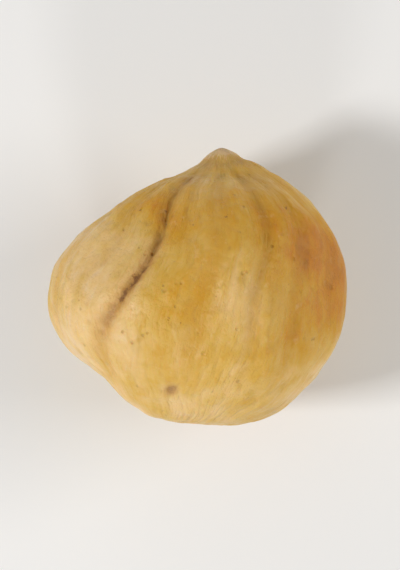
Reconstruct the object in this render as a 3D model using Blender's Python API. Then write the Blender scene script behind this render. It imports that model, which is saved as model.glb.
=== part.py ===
"""A blanched hazelnut kernel that lies on its side, as one solid.

Its axis runs along Y, with the pointed tip towards +Y and the broad base towards -Y. It rests on a small
flat spot at Z = 0, and the origin is the middle of its box on that plane. Metres, +Z up.
"""

import math

import bmesh
import bpy
from mathutils import Matrix, Vector, noise

MM = 0.001

# Driving dimensions: the kernel's whole size as it lies
WIDTH = 14.4 * MM
LENGTH = 13.5 * MM
HEIGHT = 12.6 * MM

# Ground form: distance from the middle to the surface in mm, at equal steps of angle from the tip to
# the base, along the right, upper, left and under sides
PROFILES = (
    (6.4, 6.66, 6.82, 7.06, 7.32, 7.34, 7.24, 7.12, 7.02, 6.90, 6.44, 6.16, 6.40),
    (6.4, 6.15, 6.20, 6.40, 6.58, 6.65, 6.68, 6.72, 6.80, 6.85, 6.68, 6.40, 6.40),
    (6.4, 5.74, 5.52, 5.54, 5.82, 6.44, 7.10, 7.36, 6.92, 6.18, 5.78, 6.08, 6.40),
    (6.4, 6.05, 6.00, 6.15, 6.32, 6.42, 6.48, 6.52, 6.65, 6.80, 6.70, 6.50, 6.45),
)

# The tip: the small nub where the root would grow, and the faint ring round its cap
NUB_HEIGHT = 0.36 * MM
NUB_SPREAD = math.radians(8.5)
NUB_BLUNTNESS = 3.0
RING_ANGLE = math.radians(21)
RING_SPREAD = math.radians(4.5)
RING_DEPTH = 0.07 * MM

# The base: the shallow dimple where the kernel hung on its cord, and its low rim
DIMPLE_SPREAD = math.radians(14)
DIMPLE_DEPTH = 0.30 * MM
RIM_ANGLE = math.radians(28)
RIM_SPREAD = math.radians(10)
RIM_HEIGHT = 0.08 * MM

# Flats where the kernel pressed on its shell: outward direction, and distance from the middle
FLAT_SOFTNESS = 0.9 * MM
LEAST_FACING = 0.05
FLATS = (
    (Vector((-0.52, 0.52, 0.68)), 5.72 * MM),
    (Vector((0.78, 0.10, 0.62)), 6.45 * MM),
    (Vector((0.20, -0.80, 0.57)), 6.60 * MM),
    (Vector((0.66, -0.45, -0.60)), 6.45 * MM),
    (Vector((-0.74, 0.05, -0.67)), 6.35 * MM),
    (Vector((0.30, 0.72, -0.63)), 5.95 * MM),
)

# Grooves that run from the tip towards the base: azimuth round the axis in degrees, from +X towards +Z,
# depth and half width in mm, how far from the tip each reaches in degrees, and by how many degrees it
# swings aside past the middle. The two deep ones are the line where the two seed leaves meet, down either
# side.
GROOVES = (
    (-9, 0.12, 0.55, 120, 0),
    (21, 0.14, 0.50, 115, 0),
    (44, 0.16, 0.55, 135, -4),
    (63, 0.22, 0.55, 130, -5),
    (87, 0.20, 0.70, 140, 0),
    (103, 0.14, 0.40, 85, 0),
    (118, 0.26, 0.50, 150, 15),
    (141, 0.12, 0.50, 115, 12),
    (160, 0.14, 0.50, 135, 8),
    (183, 0.13, 0.55, 120, 0),
    (205, 0.12, 0.50, 140, 0),
    (227, 0.15, 0.60, 115, 0),
    (247, 0.12, 0.50, 125, 0),
    (298, 0.24, 0.50, 150, 0),
    (323, 0.14, 0.55, 130, 0),
)
GROOVE_WIDEST = math.radians(8)
GROOVE_START = (math.radians(7), math.radians(30))
GROOVE_SWING = (math.radians(80), math.radians(128))
GROOVE_FADE = 35

# Unevenness of the whole surface
SWAY = math.radians(6)
SWAY_FREQUENCY = 1.5
LUMP_HEIGHT = 0.22 * MM
LUMP_FREQUENCY = 1.9
LUMP_OFFSET = Vector((3.1, 7.4, 1.3))

# The low swell under its weight, and the flat spot there that it rests on
SWELL_DIRECTION = Vector((0.09, -0.16, -0.98)).normalized()
SWELL_SPREAD = math.radians(24)
SWELL_HEIGHT = 0.14 * MM
REST_CUT = 0.42 * MM
REST_ROUNDING = 0.12 * MM
REST_SNAP = 0.004 * MM

# Fineness of the mesh
SEGMENTS = 128
RINGS = 42
TIP_CROWDING = 0.06
END_CROWDING = 0.10

KERNEL_COLOUR = (0.62, 0.40, 0.13, 1.0)
KERNEL_ROUGHNESS = 0.5


def clear_scene():
    for thing in list(bpy.data.objects):
        bpy.data.objects.remove(thing, do_unlink=True)


def smooth_step(low, high, value):
    share = min(max((value - low) / (high - low), 0.0), 1.0)
    return share * share * (3 - 2 * share)


def soft_least(first, second, softness):
    """The lesser of two lengths, rounded over where they are near each other."""
    share = min(max(0.5 + 0.5 * (second - first) / softness, 0.0), 1.0)
    return second + (first - second) * share - softness * share * (1 - share)


def bump(distance, spread):
    return math.exp(-((distance / spread) ** 2))


def along_profile(profile, polar):
    """The profile's distance at this angle from the tip, on a smooth curve through its values."""
    last = len(profile) - 1
    place = polar / math.pi * last
    start = min(int(place), last - 1)
    share = place - start
    before, here, there, after = (
        profile[min(max(start + offset, 0), last)] for offset in (-1, 0, 1, 2)
    )
    rise, leave, arrive = there - here, (there - before) / 2, (after - here) / 2
    curve = (leave + arrive - 2 * rise) * share**3 + (3 * rise - 2 * leave - arrive) * share**2
    return (here + leave * share + curve) * MM


def ground_radius(polar, azimuth):
    """Distance from the middle to the ground form, which turns smoothly from side to side."""
    quarter, turn = divmod(azimuth % (2 * math.pi), math.pi / 2)
    nearest = PROFILES[int(quarter) % 4]
    following = PROFILES[(int(quarter) + 1) % 4]
    share = math.sin(turn) ** 2
    return along_profile(nearest, polar) * (1 - share) + along_profile(following, polar) * share


def flattened(radius, direction):
    for outward, distance in FLATS:
        facing = direction.dot(outward.normalized())
        if facing > LEAST_FACING:
            radius = soft_least(radius, distance / facing, FLAT_SOFTNESS)
    return radius


def groove_depth(polar, azimuth):
    """How deep the surface dips in the grooves at this angle from the tip, on this meridian."""
    girth = WIDTH / 2 * math.sin(polar)
    depth = 0.0
    for middle, deepest, half_width, reach, swing in GROOVES:
        course = math.radians(middle + swing * smooth_step(*GROOVE_SWING, polar))
        turn = (azimuth - course + math.pi) % (2 * math.pi) - math.pi
        spread = min(half_width * MM / max(girth, half_width * MM), GROOVE_WIDEST)
        end = 1 - smooth_step(reach - GROOVE_FADE, reach, math.degrees(polar))
        depth += deepest * MM * end * bump(turn, spread)
    return depth * smooth_step(*GROOVE_START, polar)


def direction_of(polar, azimuth):
    return Vector((math.sin(polar) * math.cos(azimuth), math.cos(polar), math.sin(polar) * math.sin(azimuth)))


def kernel_point(corner):
    """Where a corner of the sphere goes. Its meridian sways, so that the grooves on it wander a little."""
    even = math.acos(min(max(corner.y, -1.0), 1.0))
    polar = even - TIP_CROWDING * math.sin(even) - END_CROWDING * math.sin(2 * even)
    meridian = math.atan2(corner.z, corner.x)
    azimuth = meridian + SWAY * noise.noise(direction_of(polar, meridian) * SWAY_FREQUENCY)
    direction = direction_of(polar, azimuth)
    radius = flattened(ground_radius(polar, azimuth), direction)
    radius += LUMP_HEIGHT * noise.noise(direction * LUMP_FREQUENCY + LUMP_OFFSET)
    radius += NUB_HEIGHT * math.exp(-((polar / NUB_SPREAD) ** NUB_BLUNTNESS))
    radius -= RING_DEPTH * bump(polar - RING_ANGLE, RING_SPREAD)
    radius -= DIMPLE_DEPTH * bump(math.pi - polar, DIMPLE_SPREAD)
    radius += RIM_HEIGHT * bump(math.pi - polar - RIM_ANGLE, RIM_SPREAD)
    radius += SWELL_HEIGHT * bump(direction.angle(SWELL_DIRECTION), SWELL_SPREAD)
    radius -= groove_depth(polar, meridian)
    return direction * radius


def settle(points):
    """Presses a flat spot into the underside, then fits the whole to its size and place."""
    floor = min(point.z for point in points) + REST_CUT
    for point in points:
        above = max(point.z - floor, 0.0)
        eased = above * above / (above + REST_ROUNDING)
        point.z = eased if eased > REST_SNAP else 0.0
    low = Vector([min(point[axis] for point in points) for axis in range(3)])
    high = Vector([max(point[axis] for point in points) for axis in range(3)])
    middle = (low + high) / 2
    for point in points:
        point.x = (point.x - middle.x) * WIDTH / (high.x - low.x)
        point.y = (point.y - middle.y) * LENGTH / (high.y - low.y)
        point.z = point.z * HEIGHT / high.z


def kernel_material():
    material = bpy.data.materials.new("toasted_kernel")
    material.use_nodes = True
    shader = material.node_tree.nodes["Principled BSDF"]
    shader.inputs["Base Color"].default_value = KERNEL_COLOUR
    shader.inputs["Roughness"].default_value = KERNEL_ROUGHNESS
    shader.inputs["Metallic"].default_value = 0.0
    return material


def build_kernel(collection):
    """A sphere with its poles at the tip and the base, moved point by point to the kernel's form."""
    shape = bmesh.new()
    bmesh.ops.create_uvsphere(
        shape,
        u_segments=SEGMENTS,
        v_segments=RINGS,
        radius=1.0,
        matrix=Matrix.Rotation(-math.pi / 2, 4, "X"),
    )
    points = [kernel_point(vertex.co.normalized()) for vertex in shape.verts]
    settle(points)
    for vertex, point in zip(shape.verts, points):
        vertex.co = point
    bmesh.ops.recalc_face_normals(shape, faces=shape.faces)
    mesh = bpy.data.meshes.new("kernel")
    shape.to_mesh(mesh)
    shape.free()
    mesh.shade_smooth()
    mesh.materials.append(kernel_material())
    kernel = bpy.data.objects.new("kernel", mesh)
    collection.objects.link(kernel)
    return kernel


def main():
    clear_scene()
    collection = bpy.data.collections.new("hazelnut_kernel")
    bpy.context.scene.collection.children.link(collection)
    build_kernel(collection)


main()
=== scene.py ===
"""Looks of a blanched, lightly toasted hazelnut kernel that lies on its side. Metres, +Z up."""

import math

import bpy
import numpy as np
from mathutils import Euler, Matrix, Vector, noise


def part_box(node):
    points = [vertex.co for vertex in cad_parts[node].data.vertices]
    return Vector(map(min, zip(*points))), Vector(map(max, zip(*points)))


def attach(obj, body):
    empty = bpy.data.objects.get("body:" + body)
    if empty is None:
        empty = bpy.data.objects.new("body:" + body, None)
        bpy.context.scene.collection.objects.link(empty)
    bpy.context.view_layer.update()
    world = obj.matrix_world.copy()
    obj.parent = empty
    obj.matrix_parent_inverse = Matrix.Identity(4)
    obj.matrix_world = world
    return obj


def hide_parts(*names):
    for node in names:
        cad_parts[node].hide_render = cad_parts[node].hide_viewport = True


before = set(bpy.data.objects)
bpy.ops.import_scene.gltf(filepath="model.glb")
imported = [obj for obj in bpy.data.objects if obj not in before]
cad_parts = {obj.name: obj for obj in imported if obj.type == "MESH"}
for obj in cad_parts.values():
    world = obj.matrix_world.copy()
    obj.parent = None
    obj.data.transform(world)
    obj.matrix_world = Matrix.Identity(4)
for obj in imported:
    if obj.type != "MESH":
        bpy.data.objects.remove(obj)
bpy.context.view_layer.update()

# The kernel
# The whole seed of the nut without its shell and skin. It is firm, oily white flesh, pressed into ribs and
# flats by the shell it grew in, with a pointed tip, a broad base and the line of its two seed leaves. It lies
# loose on its side, on a small flat spot.
SEGMENTS = 360
RINGS = 262
TIP_CROWDING = 0.06
END_CROWDING = 0.10
SWAY = math.radians(6)
SWAY_FREQUENCY = 1.5

# Ground form: distance from the middle to the surface in mm, at equal steps of angle from the tip to the
# base, along the right, upper, left and under sides
PROFILES = (
    (6.4, 6.66, 6.82, 7.06, 7.32, 7.34, 7.24, 7.12, 7.02, 6.90, 6.44, 6.16, 6.40),
    (6.4, 6.15, 6.20, 6.40, 6.58, 6.65, 6.68, 6.72, 6.80, 6.85, 6.68, 6.40, 6.40),
    (6.4, 5.74, 5.52, 5.54, 5.82, 6.44, 7.10, 7.36, 6.92, 6.18, 5.78, 6.08, 6.40),
    (6.4, 6.05, 6.00, 6.15, 6.32, 6.42, 6.48, 6.52, 6.65, 6.80, 6.70, 6.50, 6.45),
)
LUMP_HEIGHT = 0.22
LUMP_FREQUENCY = 1.9
LUMP_OFFSET = (3.1, 7.4, 1.3)

# Flats where it pressed on its shell: outward direction, and distance from the middle in mm
FLAT_SOFTNESS = 0.9
LEAST_FACING = 0.05
FLATS = (
    ((-0.52, 0.52, 0.68), 5.72),
    ((0.78, 0.10, 0.62), 6.45),
    ((0.20, -0.80, 0.57), 6.60),
    ((0.66, -0.45, -0.60), 6.45),
    ((-0.74, 0.05, -0.67), 6.35),
    ((0.30, 0.72, -0.63), 5.95),
)

# The nub at the tip and the faint ring round it, the dimple at the base and its low rim, and the swell under
# the kernel's weight: heights and depths in mm, places and spreads as angles
NUB_HEIGHT = 0.36
NUB_SPREAD = math.radians(8.5)
NUB_BLUNTNESS = 3
RING_DEPTH = 0.07
RING_ANGLE = math.radians(21)
RING_SPREAD = math.radians(4.5)
DIMPLE_DEPTH = 0.30
DIMPLE_SPREAD = math.radians(14)
RIM_HEIGHT = 0.08
RIM_ANGLE = math.radians(28)
RIM_SPREAD = math.radians(10)
SWELL_DIRECTION = (0.09, -0.16, -0.98)
SWELL_HEIGHT = 0.14
SWELL_SPREAD = math.radians(24)

# Grooves from the tip towards the base: which way round each lies in degrees, depth and half width in mm, how
# far from the tip it reaches in degrees, and by how many degrees it swings aside past the middle
HALF_WIDTH = 7.2
GROOVES = (
    (-9, 0.12, 0.55, 120, 0),
    (21, 0.14, 0.50, 115, 0),
    (44, 0.16, 0.55, 135, -4),
    (63, 0.22, 0.55, 130, -5),
    (87, 0.20, 0.70, 140, 0),
    (103, 0.14, 0.40, 85, 0),
    (118, 0.26, 0.50, 150, 15),
    (141, 0.12, 0.50, 115, 12),
    (160, 0.14, 0.50, 135, 8),
    (183, 0.13, 0.55, 120, 0),
    (205, 0.12, 0.50, 140, 0),
    (227, 0.15, 0.60, 115, 0),
    (247, 0.12, 0.50, 125, 0),
    (298, 0.24, 0.50, 150, 0),
    (323, 0.14, 0.55, 130, 0),
)
GROOVE_WIDEST = math.radians(8)
GROOVE_START = (math.radians(7), math.radians(30))
GROOVE_SWING = (math.radians(80), math.radians(128))
GROOVE_FADE = 35


def smooth_step(low, high, value):
    share = np.clip((value - low) / (high - low), 0, 1)
    return share * share * (3 - 2 * share)


def soft_least(first, second, softness):
    """The lesser of two lengths, rounded over where they are near each other."""
    share = np.clip(0.5 + 0.5 * (second - first) / softness, 0, 1)
    return second + (first - second) * share - softness * share * (1 - share)


def bump(distance, spread):
    return np.exp(-((distance / spread) ** 2))


def unit(vector):
    return np.array(vector) / np.linalg.norm(vector)


def noise_at(places, offset):
    """Smooth noise at these places. The offset picks a stretch of it that nothing else uses."""
    return np.array([noise.noise(Vector(place)) for place in places + np.array(offset)])


def directions_of(polar, azimuth):
    return np.stack(
        [np.sin(polar) * np.cos(azimuth), np.cos(polar), np.sin(polar) * np.sin(azimuth)], axis=1
    )


def along_profile(profile, polar):
    """The profile's distance at these angles from the tip, on a smooth curve through its values."""
    values = np.array([profile[0], *profile, profile[-1]])
    place = polar / math.pi * (len(profile) - 1)
    start = np.minimum(place.astype(int), len(profile) - 2)
    share = place - start
    before, here, there, after = (values[start + offset] for offset in range(4))
    rise, leave, arrive = there - here, (there - before) / 2, (after - here) / 2
    curve = (leave + arrive - 2 * rise) * share**3 + (3 * rise - 2 * leave - arrive) * share**2
    return here + leave * share + curve


def ground_radius(polar, azimuth):
    """Distance from the middle to the ground form, which turns smoothly from side to side."""
    sides = np.array([along_profile(profile, polar) for profile in PROFILES])
    quarter = np.floor(azimuth % (2 * math.pi) / (math.pi / 2)).astype(int) % 4
    share = np.sin(azimuth % (math.pi / 2)) ** 2
    column = np.arange(len(polar))
    return sides[quarter, column] * (1 - share) + sides[(quarter + 1) % 4, column] * share


def angle_to(outward):
    """The angle between each direction from the middle and this one."""
    return np.arccos(np.clip(direction @ unit(outward), -1, 1))


def turn_from(azimuth, middle, swing):
    """How far these azimuths lie from a groove's course, between minus and plus half a turn."""
    course = np.radians(middle + swing * smooth_step(*GROOVE_SWING, polar))
    return (azimuth - course + math.pi) % (2 * math.pi) - math.pi


ring, column = np.meshgrid(np.arange(1, RINGS), np.arange(SEGMENTS), indexing="ij")
even = np.concatenate([[0.0], ring.ravel() * math.pi / RINGS, [math.pi]])
meridian = np.concatenate([[0.0], column.ravel() * 2 * math.pi / SEGMENTS, [0.0]])
polar = even - TIP_CROWDING * np.sin(even) - END_CROWDING * np.sin(2 * even)
degrees = np.degrees(polar)
azimuth = meridian + SWAY * noise_at(directions_of(polar, meridian) * SWAY_FREQUENCY, (0, 0, 0))
direction = directions_of(polar, azimuth)

radius = ground_radius(polar, azimuth)
for outward, distance in FLATS:
    facing = direction @ unit(outward)
    flat = distance / np.maximum(facing, LEAST_FACING)
    radius = np.where(facing > LEAST_FACING, soft_least(radius, flat, FLAT_SOFTNESS), radius)
radius += LUMP_HEIGHT * noise_at(direction * LUMP_FREQUENCY, LUMP_OFFSET)
radius += NUB_HEIGHT * np.exp(-((polar / NUB_SPREAD) ** NUB_BLUNTNESS))
radius -= RING_DEPTH * bump(polar - RING_ANGLE, RING_SPREAD)
radius -= DIMPLE_DEPTH * bump(math.pi - polar, DIMPLE_SPREAD)
radius += RIM_HEIGHT * bump(math.pi - polar - RIM_ANGLE, RIM_SPREAD)
radius += SWELL_HEIGHT * bump(angle_to(SWELL_DIRECTION), SWELL_SPREAD)

girth = HALF_WIDTH * np.sin(polar)
groove = np.zeros_like(polar)
for middle, deepest, half_width, reach, swing in GROOVES:
    spread = np.minimum(half_width / np.maximum(girth, half_width), GROOVE_WIDEST)
    end = 1 - smooth_step(reach - GROOVE_FADE, reach, degrees)
    groove += deepest * end * bump(turn_from(meridian, middle, swing), spread)
groove *= smooth_step(*GROOVE_START, polar)
radius -= groove

# The sharp crease in the grooves where the seed leaves meet, the painted shade in a soft band along its
# sides, and the bits of skin left in it: half widths in mm. Each row is one side of the kernel, in degrees:
# which way round the crease lies and how far it swings aside, where it fades and is gone, and where the bits
# of skin start and end.
CREASE_HALF_WIDTH = 0.15
SIDES_HALF_WIDTH = 0.52
SIDES_OFFSET = 0.08
SKIN_HALF_WIDTH = 0.36
SKIN_OFFSET = 0.10
LEAST_GIRTH = 1.0
CREASE_START = (5, 16)
CREASE_DEEPENS = (15, 55)
SHALLOWEST = 0.45
WANDER = 0.05
CREASE_WANDER = 0.6
CREASES = (
    (118, 15, 82, 128, 70, 110),
    (298, 0, 110, 150, 45, 128),
)
wander = WANDER * noise_at(direction * 4.0, (5, 5, 5))
crease = np.zeros_like(polar)
crease_painted_shade = np.zeros_like(polar)
skin = np.zeros_like(polar)
for middle, swing, fading, gone, skin_start, skin_end in CREASES:
    course_turn = turn_from(meridian + CREASE_WANDER * wander, middle, swing)
    aside = course_turn * np.maximum(girth, LEAST_GIRTH)
    along_it = smooth_step(*CREASE_START, degrees) * (1 - smooth_step(fading, gone, degrees))
    crease += bump(aside, CREASE_HALF_WIDTH) * along_it
    crease_painted_shade += bump(aside + SIDES_OFFSET, SIDES_HALF_WIDTH) * along_it
    skin_middle = (skin_start + skin_end) / 2
    skin_reach = (skin_end - skin_start) / 2
    skin += bump(aside + SKIN_OFFSET, SKIN_HALF_WIDTH) * bump(degrees - skin_middle, skin_reach)
crease *= np.clip(0.7 + 0.9 * noise_at(direction * 5.0, (1, 8, 2)), 0, 1)
crease *= SHALLOWEST + (1 - SHALLOWEST) * smooth_step(*CREASE_DEEPENS, degrees)

# Fine relief in mm: wrinkles that run from the tip, veins that the skin left, shallow dents, the grain of the
# flesh, and the nub's last point with a small furrow round it, at angles from the tip in degrees
WRINKLE_DEPTH = 0.07
FINE_WRINKLE_DEPTH = 0.035
VEIN_DEPTH = 0.04
VEIN_SHARPNESS = 8
UNEVENNESS = 0.055
DENT_DEPTH = 0.06
DENT_FREQUENCY = 4.3
DENT_OFFSET = 11.7
GRAIN_HEIGHT = 0.010
GRAIN_FREQUENCY = 26
SKEW = (0.7, 0.5, 0.4)
CREASE_DEPTH = 0.09
POINT_HEIGHT = 0.09
POINT_SPREAD = 3.2
FURROW_DEPTH = 0.05
FURROW_ANGLE = 9.5
FURROW_SPREAD = 2.2
around = np.stack([np.cos(meridian + wander), np.sin(meridian + wander), np.zeros_like(polar)], axis=1)
height = np.stack([np.zeros_like(polar), np.zeros_like(polar), polar], axis=1)
off_the_base = smooth_step(173, 145, degrees)
off_the_ends = smooth_step(7, 26, degrees) * off_the_base
wrinkles = noise_at(around * 3.4 + height * 0.8, (2, 4, 6))
fine_wrinkles = noise_at(around * 9.0 + height * 1.8, (8, 3, 5)) * smooth_step(4, 18, degrees)
vein_lines = 1 - np.minimum(np.abs(noise_at(around * 6.0 + height * 2.2, (9, 1, 3))) * 2.4, 1)
veins = vein_lines**VEIN_SHARPNESS * np.clip(0.35 + 1.6 * noise_at(direction * 2.6, (4, 4, 9)), 0, 1)
lumps = noise_at(direction * 5.5, (6, 6, 1)) + 0.5 * noise_at(direction * 11, (3, 1, 7))
askew = direction @ np.array(Euler(SKEW).to_matrix())
grain = noise_at(askew * GRAIN_FREQUENCY, (1, 1, 1))
dent_places = direction * DENT_FREQUENCY + DENT_OFFSET
dents = smooth_step(0.30, 0.04, np.array([noise.voronoi(Vector(place))[0][0] for place in dent_places]))
radius -= off_the_ends * (WRINKLE_DEPTH * wrinkles + VEIN_DEPTH * veins)
radius -= off_the_base * FINE_WRINKLE_DEPTH * fine_wrinkles
radius -= UNEVENNESS * lumps + DENT_DEPTH * dents
radius -= CREASE_DEPTH * crease
radius += POINT_HEIGHT * bump(degrees, POINT_SPREAD)
radius -= FURROW_DEPTH * bump(degrees - FURROW_ANGLE, FURROW_SPREAD)
radius += GRAIN_HEIGHT * grain

# Small pits in the upper side: place seen from above, half length and half width in mm, lean from the axis
# in degrees, and how deep against the deepest, which is near the base
PIT_DEPTH = 0.12
PIT_BLUNTNESS = 1.5
PITS = (
    (-0.50, -5.04, 0.40, 0.27, 70, 1.0),
    (-4.75, 0.28, 0.26, 0.15, 30, 0.4),
    (-5.00, -2.60, 0.20, 0.13, -20, 0.4),
    (3.60, -0.30, 0.55, 0.12, -14, 0.3),
    (1.10, 1.90, 0.14, 0.10, 20, 0.5),
)
plan = direction[:, :2] * radius[:, None]
plan -= (plan.max(axis=0) + plan.min(axis=0)) / 2
pit = np.zeros_like(polar)
for x, y, half_length, half_width, lean, depth in PITS:
    slant = math.radians(lean)
    lengthwise = (plan[:, 0] - x) * math.sin(slant) + (plan[:, 1] - y) * math.cos(slant)
    crosswise = (plan[:, 0] - x) * math.cos(slant) - (plan[:, 1] - y) * math.sin(slant)
    oval = (lengthwise / half_length) ** 2 + (crosswise / half_width) ** 2
    pit = np.maximum(pit, depth * np.exp(-(oval**PIT_BLUNTNESS)) * (direction[:, 2] > 0))
radius -= PIT_DEPTH * pit

# The flat spot that it rests on, pressed into the underside, in mm. The whole is then fitted to its box.
REST_CUT = 0.42
REST_ROUNDING = 0.12
REST_SNAP = 0.004
points = direction * radius[:, None]
points[:, 2] -= points[:, 2].min() + REST_CUT
points[:, 2] = np.maximum(points[:, 2], 0)
points[:, 2] = points[:, 2] ** 2 / (points[:, 2] + REST_ROUNDING)
points[points[:, 2] < REST_SNAP, 2] = 0
kernel_low, kernel_high = (np.array(corner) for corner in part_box("kernel"))
points -= points.min(axis=0)
points *= (kernel_high - kernel_low) / points.max(axis=0)
points += kernel_low

ring_start = 1 + np.arange(RINGS - 1)[:, None] * SEGMENTS
here = ring_start + np.arange(SEGMENTS)
beside = ring_start + (np.arange(SEGMENTS) + 1) % SEGMENTS
base_point = len(points) - 1
quads = np.stack([here[:-1], beside[:-1], beside[1:], here[1:]], axis=-1).reshape(-1, 4)
tip_fan = np.stack([np.zeros(SEGMENTS, int), beside[0], here[0]], axis=-1)
base_fan = np.stack([np.full(SEGMENTS, base_point), here[-1], beside[-1]], axis=-1)
kernel_mesh = bpy.data.meshes.new("whole_kernel")
kernel_mesh.from_pydata(points.tolist(), [], quads.tolist() + tip_fan.tolist() + base_fan.tolist())
kernel_mesh.validate()
kernel_mesh.shade_smooth()
kernel = bpy.data.objects.new("whole_kernel", kernel_mesh)
bpy.context.scene.collection.objects.link(kernel)

# Where the heat toasted it most, and where it stayed pale, with painted light and shade in the same patches.
# The pale patches on the left, lower left, bottom, low right and by the tip are painted light where the lamps
# fall. The dark one on the upper left is painted shade. The orange ones on the right are partly toasted
# colour and partly painted shade. Each patch: direction, how far it spreads in degrees, how much
EVEN_TOAST = 0.42
UNEVEN_TOAST = 0.12
TIP_TOAST = 0.06
TIP_TOAST_SPREAD = 24
TOAST_AND_PAINTED_LIGHT_PATCHES = (
    # Orange on the right: partly toasted colour, partly painted shade
    ((0.90, 0.30, 0.28), 26, 0.42),
    ((0.52, 0.58, 0.63), 18, 0.26),
    ((0.76, -0.20, 0.60), 18, 0.12),
    # Painted light on the low right
    ((0.81, -0.46, 0.36), 14, -0.14),
    ((0.52, -0.66, 0.40), 13, 0.14),
    # Painted shade on the upper left
    ((-0.50, 0.62, 0.60), 18, 0.19),
    ((0.04, 0.53, 0.85), 15, 0.14),
    # Painted light by the tip
    ((-0.06, 0.80, 0.60), 9, -0.08),
    ((0.02, 0.05, 1.00), 15, 0.14),
    ((0.28, -0.05, 0.96), 10, -0.10),
    # Painted light: paler on the left, lower left and bottom, where the lamps fall
    ((-0.72, -0.05, 0.69), 22, -0.22),
    ((-0.62, -0.45, 0.60), 30, -0.04),
    ((-0.75, -0.62, 0.20), 22, -0.19),
    ((0.00, -0.86, 0.50), 22, -0.12),
    ((0.35, -0.50, -0.80), 30, 0.28),
    ((-0.70, 0.30, -0.65), 24, 0.24),
    ((0.20, 0.60, -0.77), 26, -0.12),
)
toast_and_painted_light = EVEN_TOAST + UNEVEN_TOAST * noise_at(direction * 2.4, (3, 9, 4))
toast_and_painted_light += TIP_TOAST * bump(degrees, TIP_TOAST_SPREAD)
for outward, reach, strength in TOAST_AND_PAINTED_LIGHT_PATCHES:
    toast_and_painted_light += strength * bump(angle_to(outward), math.radians(reach))

# What the finish reads at each point: how strong each mark is there, and where it lies among the strands that
# run from the tip. The marks at the tip and the base are spots and a ring, with their angles from the tip or
# from the base in degrees.
STRANDS_ROUND = 7
STRANDS_LENGTHWISE = 1.6
GROOVE_FULL = 0.2
NUB_MARK_SPREAD = 9.5
COLLAR_ANGLE = 10.5
COLLAR_SPREAD = 3
APEX_SPREAD = 1.6
SCAR_SPREAD = 15
CORD_SPREAD = 4.5
from_base = 180 - degrees
MARKS = {
    "toast_and_painted_light": toast_and_painted_light,
    "groove": np.clip(groove / GROOVE_FULL, 0, 1),
    "crease": crease,
    "crease_painted_shade": crease_painted_shade,
    "skin": skin,
    "veins": off_the_ends * veins,
    "dents": dents,
    "pit": pit,
    "nub": bump(degrees, NUB_MARK_SPREAD),
    "collar": bump(degrees - COLLAR_ANGLE, COLLAR_SPREAD),
    "apex": bump(degrees, APEX_SPREAD),
    "scar": bump(from_base, SCAR_SPREAD),
    "cord_spot": bump(from_base, CORD_SPREAD),
}
for name, strength in MARKS.items():
    layer = kernel_mesh.attributes.new(name, "FLOAT", "POINT")
    layer.data.foreach_set("value", strength.astype(np.float32))
strand_places = around * STRANDS_ROUND + height * STRANDS_LENGTHWISE
strands = kernel_mesh.attributes.new("strands", "FLOAT_VECTOR", "POINT")
strands.data.foreach_set("vector", strand_places.astype(np.float32).ravel())

# The kernel's finish: bare seed flesh, dry and slightly waxy from its oil. The oven turned it from cream to
# gold, and to orange-brown where it stood nearest to the heat. First its colours by how far it is toasted,
# which here also carries painted light and shade, then those of its marks.
TOASTED = (
    (0.00, (0.83, 0.63, 0.41, 1)),
    (0.22, (0.80, 0.55, 0.235, 1)),
    (0.44, (0.69, 0.435, 0.086, 1)),
    (0.64, (0.63, 0.330, 0.014, 1)),
    (0.82, (0.58, 0.225, 0.006, 1)),
    (1.00, (0.42, 0.15, 0.009, 1)),
)
VEIN_COLOUR = (0.52, 0.28, 0.06, 1)
GROOVE_SHADE_COLOUR = (0.57, 0.270, 0.024, 1)
DENT_COLOUR = (0.55, 0.31, 0.060, 1)
RUBBED_COLOUR = (0.87, 0.67, 0.36, 1)
PORE_COLOUR = (0.42, 0.21, 0.045, 1)
CREASE_SHADE_COLOUR = (0.42, 0.21, 0.050, 1)
CREASE_COLOUR = (0.30, 0.135, 0.035, 1)
FLECK_COLOUR = (0.24, 0.085, 0.022, 1)
THIN_SKIN_COLOUR = (0.44, 0.20, 0.048, 1)
THICK_SKIN_COLOUR = (0.20, 0.080, 0.026, 1)
COLLAR_COLOUR = (0.50, 0.245, 0.040, 1)
NUB_PALE_AND_HIGHLIGHT_COLOUR = (0.94, 0.66, 0.37, 1)
APEX_COLOUR = (0.48, 0.24, 0.070, 1)
SCAR_COLOUR = (0.48, 0.25, 0.055, 1)

toasted_kernel = bpy.data.materials.new("toasted_kernel")
toasted_kernel.use_nodes = True
nodes = toasted_kernel.node_tree.nodes
links = toasted_kernel.node_tree.links
flesh = nodes["Principled BSDF"]


def node(kind, **settings):
    made = nodes.new("ShaderNode" + kind)
    for key, value in settings.items():
        setattr(made, key, value)
    return made


def feed(source, target):
    """Sets a socket to a plain value, or links another node's output to it."""
    if isinstance(source, (int, float, tuple)):
        target.default_value = source
    else:
        links.new(source, target)


def painted(name):
    return node("Attribute", attribute_name=name).outputs["Fac"]


def worked(operation, first, second):
    made = node("Math", operation=operation)
    feed(first, made.inputs[0])
    feed(second, made.inputs[1])
    return made.outputs[0]


def times(first, second):
    return worked("MULTIPLY", first, second)


def plus(*terms):
    total = terms[0]
    for term in terms[1:]:
        total = worked("ADD", total, term)
    return total


def mottle(scale, detail, vector=None, roughness=0.55):
    """Noise centred on zero, on the kernel's own coordinates unless others are given."""
    made = node("TexNoise")
    made.inputs["Scale"].default_value = scale
    made.inputs["Detail"].default_value = detail
    made.inputs["Roughness"].default_value = roughness
    links.new(vector or place.outputs["Object"], made.inputs["Vector"])
    return worked("SUBTRACT", made.outputs["Fac"], 0.5)


def eased(value, low, high, start=0.0, end=1.0):
    """Goes smoothly from start to end as the value goes from low to high."""
    made = node("MapRange", interpolation_type="SMOOTHSTEP")
    for source, target in zip((value, low, high, start, end), made.inputs[:5]):
        feed(source, target)
    return made.outputs[0]


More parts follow.
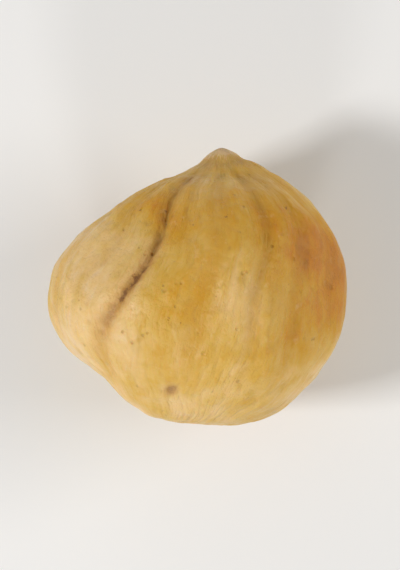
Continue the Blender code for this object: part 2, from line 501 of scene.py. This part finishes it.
def stained(amount, ground, stain):
    """The ground colour, with as much of the stain over it as the amount says."""
    made = node("Mix", data_type="RGBA")
    feed(amount, made.inputs[0])
    feed(ground, made.inputs[6])
    feed(stain, made.inputs[7])
    return made.outputs[2]


# Unevenness that several marks share: broad and small clouds, streaks and fibres along the kernel, and a fine
# one that frays their edges. The turned coordinates keep the finest noise from lining up with the axes.
place = node("TexCoord")
turned = node("Mapping")
turned.inputs["Rotation"].default_value = SKEW
links.new(place.outputs["Object"], turned.inputs["Vector"])
along = node("Attribute", attribute_name="strands").outputs["Vector"]
broad = mottle(scale=380, detail=3)
small = mottle(scale=1300, detail=6, vector=turned.outputs[0])
streaks = mottle(scale=0.8, detail=4, vector=along)
fibres = mottle(scale=2.6, detail=4, vector=along)
fine = mottle(scale=2300, detail=6, roughness=0.7)

# Pores, each of its own size and strength, in loose flocks
cells = node("TexVoronoi")
cells.inputs["Scale"].default_value = 1900
links.new(place.outputs["Object"], cells.inputs["Vector"])
chance = cells.outputs["Color"]
pore_size = plus(eased(chance, low=0.35, high=0.90, start=0.12, end=0.30), times(small, 0.3))
pore_strength = eased(chance, low=0.30, high=0.60, start=0.2, end=1.0)
flocks = eased(mottle(scale=620, detail=3), low=-0.06, high=0.16)
pores = times(times(eased(cells.outputs["Distance"], low=pore_size, high=0.02), pore_strength), flocks)

# The toasted colour with the painted light and shade of the patches in it, and the marks that lie over the
# whole kernel or follow its form. The stain in the grooves and the soft band along the crease are painted
# shade
# The patch map read here carries painted light and shade besides the toasted colour
clouds = plus(painted("toast_and_painted_light"), times(broad, 0.60), times(small, 0.34))
toast_and_light_level = plus(clouds, times(streaks, 0.30), times(fibres, 0.28))
heat = node("ValToRGB")
stops = heat.color_ramp.elements
stops[0].color = TOASTED[0][1]
stops[1].color = TOASTED[-1][1]
for share, shade in TOASTED[1:-1]:
    stops.new(share).color = shade
links.new(toast_and_light_level, heat.inputs[0])
rubbing = plus(mottle(scale=1500, detail=6, roughness=0.7), times(fibres, 0.4))
rubbed = eased(rubbing, low=0.10, high=0.20)
patchy = plus(0.40, times(small, 1.6))
colour = stained(times(painted("veins"), 0.30), heat.outputs[0], VEIN_COLOUR)
# Painted shade in the grooves
colour = stained(times(painted("groove"), 0.34), colour, GROOVE_SHADE_COLOUR)
colour = stained(times(painted("dents"), 0.25), colour, DENT_COLOUR)
colour = stained(times(rubbed, 0.20), colour, RUBBED_COLOUR)
colour = stained(times(pores, 0.34), colour, PORE_COLOUR)
# Painted shade in a soft band along the crease
colour = stained(times(painted("crease_painted_shade"), patchy), colour, CREASE_SHADE_COLOUR)
colour = stained(times(painted("crease"), 0.36), colour, CREASE_COLOUR)

# Dark flecks, more of them in the dips
in_the_dips = plus(
    times(painted("groove"), 0.06), times(painted("crease"), 0.07), times(painted("scar"), 0.08)
)
fleck_noise = mottle(scale=1900, detail=4, roughness=0.65)
flecks = eased(plus(fleck_noise, times(broad, 0.35), in_the_dips), low=0.235, high=0.275)
colour = stained(times(flecks, 0.70), colour, FLECK_COLOUR)

# Bits of skin in the crease and at the cord's end, and the browned pit, thin at their frayed edges
skin_bits = times(plus(painted("skin"), painted("cord_spot")), plus(0.66, times(fine, 3.2)))
browned_pits = times(painted("pit"), plus(0.58, times(fine, 0.8)))
browned = plus(skin_bits, browned_pits)
colour = stained(eased(browned, low=0.03, high=0.50, end=0.58), colour, THIN_SKIN_COLOUR)
colour = stained(eased(browned, low=0.36, high=0.80, end=0.80), colour, THICK_SKIN_COLOUR)

# The tip's brown collar, pale nub and point, and the scar round the cord's end at the base. The nub's
# paleness is partly its own and partly a painted highlight where it sticks up
frayed_collar = plus(0.40, times(fine, 1.6))
# Pale nub: partly its own colour, partly a painted highlight
pale_nub_and_highlight = plus(painted("nub"), times(fine, 1.2), times(fibres, 1.8))
pale_nub_and_highlight = eased(pale_nub_and_highlight, low=0.50, high=0.72, end=0.66)
frayed_scar = plus(0.40, fibres, times(fine, 1.4))
colour = stained(times(painted("collar"), frayed_collar), colour, COLLAR_COLOUR)
colour = stained(pale_nub_and_highlight, colour, NUB_PALE_AND_HIGHLIGHT_COLOUR)
colour = stained(times(painted("apex"), plus(0.28, fine)), colour, APEX_COLOUR)
colour = stained(times(painted("scar"), frayed_scar), colour, SCAR_COLOUR)
links.new(colour, flesh.inputs["Base Color"])

# A satin gloss that comes and goes with the oil, light that sinks into the flesh, and its finest relief
oil = plus(mottle(scale=900, detail=4), times(broad, 0.6))
links.new(eased(oil, low=-0.25, high=0.25, start=0.28, end=0.50), flesh.inputs["Roughness"])
flesh.inputs["Subsurface Weight"].default_value = 0.35
flesh.inputs["Subsurface Radius"].default_value = (1.0, 0.45, 0.15)
flesh.inputs["Subsurface Scale"].default_value = 0.0006
flesh.inputs["Specular IOR Level"].default_value = 0.40
crumb = mottle(scale=2600, detail=5, vector=turned.outputs[0], roughness=0.6)
relief = plus(times(crumb, 0.4), times(fibres, 1.2), times(small, 1.0), times(pores, -0.8))
skin_bump = node("Bump")
skin_bump.inputs["Distance"].default_value = 0.00013
skin_bump.inputs["Strength"].default_value = 1.0
links.new(relief, skin_bump.inputs["Height"])
links.new(skin_bump.outputs[0], flesh.inputs["Normal"])

kernel_mesh.materials.append(toasted_kernel)
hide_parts("kernel")
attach(kernel, "root")

# Floor
# A plain pale sheet under the kernel, not part of it.
FLOOR_REACH = 2
sheet = bpy.data.meshes.new("floor")
sheet.from_pydata(
    [(x * FLOOR_REACH, y * FLOOR_REACH, 0) for x, y in ((-1, -1), (1, -1), (1, 1), (-1, 1))],
    [],
    [(0, 1, 2, 3)],
)
floor = bpy.data.objects.new("floor", sheet)
bpy.context.scene.collection.objects.link(floor)
floor_paint = bpy.data.materials.new("floor_paint")
floor_paint.use_nodes = True
matt_paint = floor_paint.node_tree.nodes["Principled BSDF"]
matt_paint.inputs["Base Color"].default_value = (0.85, 0.87, 0.90, 1)
matt_paint.inputs["Roughness"].default_value = 0.9
sheet.materials.append(floor_paint)

# Light
# A soft lamp on the left, a low one below the base that lifts its rim, a broad one across from the first, a
# weak warm one low behind the tip, and an even pale sky. All four look at the middle of the kernel.
CAMERA_ROLL = math.radians(10)
KERNEL_MIDDLE = Vector((0, 0, 0.006))

# Name, bearing round the picture from its right and height above the floor in degrees, distance and width in
# metres, watts, colour
LAMPS = (
    ("key", 194, 42, 0.30, 0.06, 0.50, (1.0, 0.98, 0.95)),
    ("low", 268, 20, 0.30, 0.06, 0.23, (1.0, 0.98, 0.95)),
    ("fill", 8, 32, 0.35, 0.22, 0.57, (1.0, 0.95, 0.88)),
    ("back", 106, 14, 0.35, 0.16, 0.11, (1.0, 0.93, 0.82)),
)
for name, bearing, elevation, distance, width, watts, shade in LAMPS:
    light = bpy.data.lights.new(name, "AREA")
    light.size = width
    light.energy = watts
    light.color = shade
    bearing_angle = math.radians(bearing) + CAMERA_ROLL
    rise = math.radians(elevation)
    outward = Vector(
        (math.cos(bearing_angle) * math.cos(rise), math.sin(bearing_angle) * math.cos(rise), math.sin(rise))
    )
    lamp = bpy.data.objects.new(name, light)
    lamp.location = KERNEL_MIDDLE + outward * distance
    lamp.rotation_euler = outward.to_track_quat("Z", "Y").to_euler()
    bpy.context.scene.collection.objects.link(lamp)
sky = bpy.data.worlds.new("sky")
sky.use_nodes = True
sky.node_tree.nodes["Background"].inputs["Color"].default_value = (1.0, 0.96, 0.90, 1)
sky.node_tree.nodes["Background"].inputs["Strength"].default_value = 0.27
bpy.context.scene.world = sky

# Camera
# Straight above and far off, turned so that the tip leans to the right as in the photograph.
CAMERA_HEIGHT = 0.40
view = bpy.data.cameras.new("camera")
view.sensor_width = 36
view.lens = 512
view.clip_start = 0.01
camera = bpy.data.objects.new("camera", view)
camera.location = (0, 0, CAMERA_HEIGHT)
camera.rotation_euler = (0, 0, CAMERA_ROLL)
bpy.context.scene.collection.objects.link(camera)
bpy.context.scene.camera = camera
bpy.context.scene.view_settings.view_transform = "Standard"
